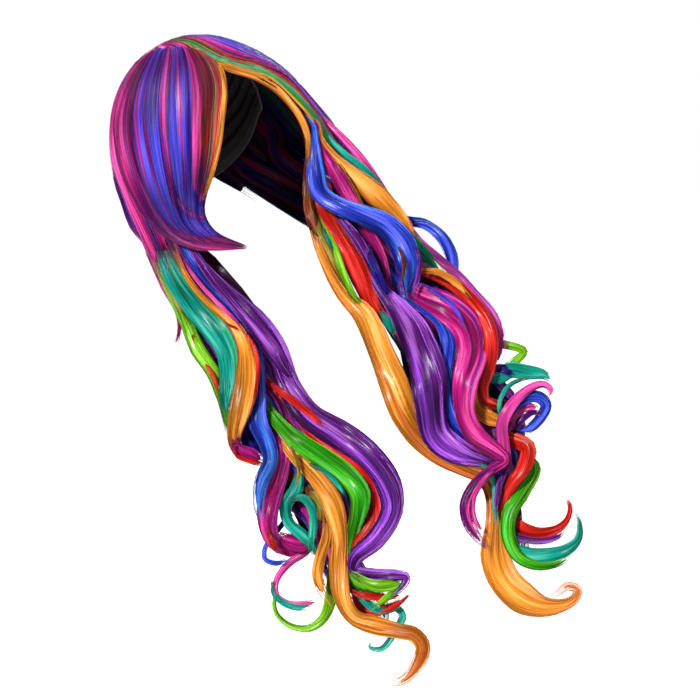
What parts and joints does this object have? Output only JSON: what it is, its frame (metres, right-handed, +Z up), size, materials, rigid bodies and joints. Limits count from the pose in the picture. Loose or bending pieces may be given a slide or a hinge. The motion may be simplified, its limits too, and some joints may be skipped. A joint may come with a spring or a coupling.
{
  "type": "synthetic wig",
  "caption": "Long wavy synthetic wig in rainbow colours: a thin cap under a dome of hair, with a side-swept bang and loose tresses of curled locks down both sides.",
  "frame": {"origin": "top of the head, at the highest point inside the cap", "axes": "+Z up, -Y out of the face, +X to the wearer's left"},
  "size_m": [0.4246, 0.2416, 0.8553],
  "materials": {
    "cap_net": "matte dark knitted net",
    "mixed_hair": "satin synthetic fibre in streaks of magenta, violet, blue, teal, green, orange and red",
    "dark_hair": "satin synthetic fibre",
    "magenta_hair": "satin synthetic fibre",
    "pink_hair": "satin synthetic fibre",
    "violet_hair": "satin synthetic fibre",
    "blue_hair": "satin synthetic fibre",
    "teal_hair": "satin synthetic fibre",
    "green_hair": "satin synthetic fibre",
    "lime_hair": "satin synthetic fibre",
    "orange_hair": "satin synthetic fibre",
    "red_hair": "satin synthetic fibre"
  },
  "bodies": {
    "root": {"cap": "cap_net", "crown_hair": "mixed_hair", "side_hair_right": "mixed_hair", "side_hair_left": "mixed_hair", "back_hair_right": "mixed_hair", "back_hair_left": "mixed_hair", "bang": "mixed_hair", "frame_orange": "orange_hair", "left_orange": "orange_hair", "left_purple": "violet_hair", "left_teal": "teal_hair", "left_green": "green_hair", "left_red": "red_hair", "left_blue": "blue_hair", "left_lime": "lime_hair", "left_orange_low": "orange_hair", "left_magenta": "magenta_hair", "left_teal_curl": "teal_hair", "left_blue_loop": "blue_hair", "left_magenta_loop": "pink_hair", "left_lime_loop": "lime_hair", "left_teal_tail": "teal_hair", "left_red_low": "red_hair", "left_wisp": "magenta_hair", "left_dark": "dark_hair", "right_blue": "blue_hair", "right_purple": "violet_hair", "right_magenta": "magenta_hair", "right_magenta_ring": "pink_hair", "right_orange_side": "orange_hair", "right_magenta_side": "magenta_hair", "right_red": "red_hair", "right_red_band": "red_hair", "right_blue_mid": "blue_hair", "right_orange": "orange_hair", "right_lime": "lime_hair", "right_pink_side": "pink_hair", "right_blue_loop": "blue_hair", "right_teal_side": "teal_hair", "right_orange_curl": "orange_hair", "right_blue_ring": "blue_hair", "right_lime_knot": "lime_hair", "right_teal_curl": "teal_hair", "right_red_low": "red_hair", "right_lime_low": "green_hair", "right_teal_low": "teal_hair", "right_red_curl": "red_hair", "left_side": "mixed_hair", "right_side": "mixed_hair", "left_rear": "mixed_hair", "right_rear": "mixed_hair", "left_back": "mixed_hair", "right_nape": "mixed_hair", "right_back": "mixed_hair", "left_core": "mixed_hair", "right_core": "mixed_hair"}
  },
  "joints": []
}
